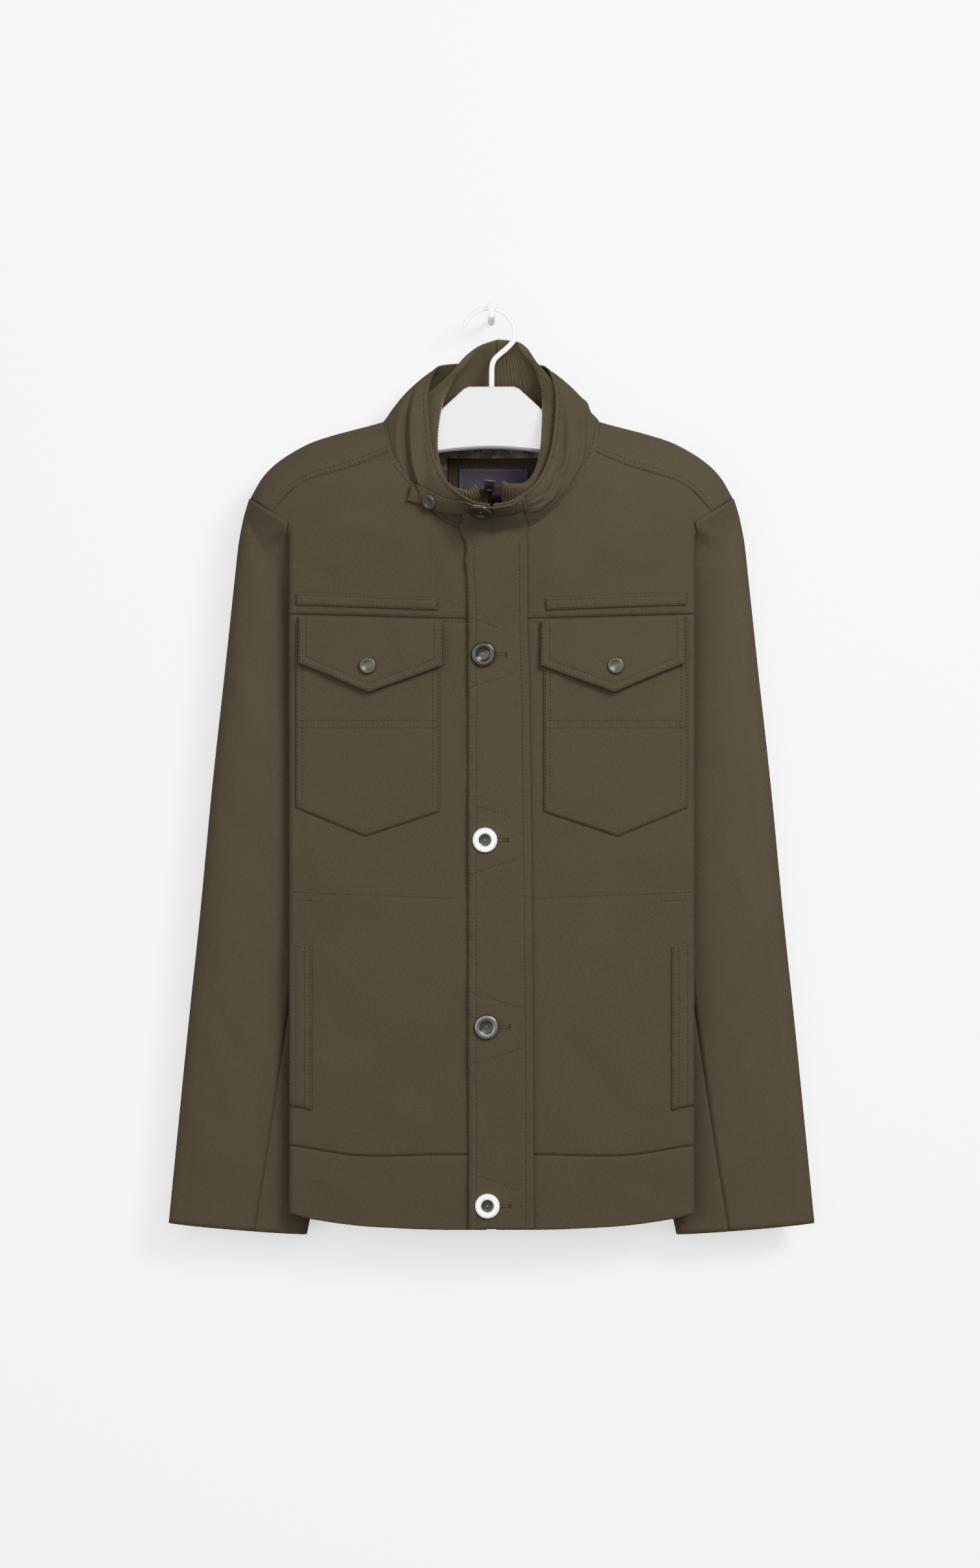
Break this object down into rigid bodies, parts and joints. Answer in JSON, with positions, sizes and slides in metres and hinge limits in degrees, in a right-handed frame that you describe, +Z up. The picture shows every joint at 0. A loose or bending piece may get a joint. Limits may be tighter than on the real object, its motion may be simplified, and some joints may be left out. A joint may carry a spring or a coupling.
{
  "type": "field parka on a wall hanger",
  "caption": "Hip-length field parka with flapped chest pockets, buttoned fly and knit inner collar, hung on a flat hanger and a wall peg.",
  "frame": {"origin": "centre of the wall peg's back face, on the wall", "axes": "+X to the wearer's left, -Y out of the wall to the viewer, +Z up"},
  "size_m": [0.5844, 0.1333, 0.8424],
  "materials": {
    "shell": "matt brushed cotton",
    "rib": "ribbed wool knit",
    "lining": "dark blotchy lining",
    "facing": "dark facing",
    "label": "bare woven label",
    "button": "polished",
    "snap": "satin enamel",
    "metal": "gunmetal",
    "tape": "woven tape with a closed chain",
    "hanger": "satin white",
    "wire": "white enamel"
  },
  "bodies": {
    "garment": {"back_panel": "shell", "button_1": "button", "button_2": "button", "button_3": "button", "button_4": "button", "button_collar": "button", "chest_left": "shell", "chest_right": "shell", "collar_shell": "shell", "collar_tab": "shell", "facing_back": "facing", "flap_left": "shell", "flap_right": "shell", "hand_welt_left": "shell", "hand_welt_right": "shell", "hanger": "hanger", "hanger_hook": "wire", "hem_back": "shell", "hem_left": "shell", "hem_right": "shell", "label_back": "label", "lining_back": "lining", "placket": "shell", "pocket_left": "shell", "pocket_right": "shell", "rib_collar": "rib", "skirt_left": "shell", "skirt_right": "shell", "sleeve_top_left": "shell", "sleeve_top_right": "shell", "sleeve_under_left": "shell", "sleeve_under_right": "shell", "slider_main": "metal", "slider_rib": "metal", "snap_left": "snap", "snap_right": "snap", "tab_snap": "snap", "wall_peg": "wire", "welt_left": "shell", "welt_right": "shell", "yoke_left": "shell", "yoke_right": "shell", "zip_main": "tape", "zip_rib": "tape"},
    "tab_main": {"pull_main": "metal"},
    "tab_rib": {"pull_rib": "metal"}
  },
  "joints": [
    {"name": "pull_main_hinge", "type": "hinge", "parent": "garment", "child": "tab_main", "pos_m": [0.00556, -0.11315, -0.17746], "axis": [-0.9063, 0.2543, -0.3375], "range_deg": [0, 55]},
    {"name": "pull_rib_hinge", "type": "hinge", "parent": "garment", "child": "tab_rib", "pos_m": [-0.00217, -0.10995, -0.16379], "axis": [-0.9976, -0.0227, 0.066], "range_deg": [0, 85]}
  ]
}
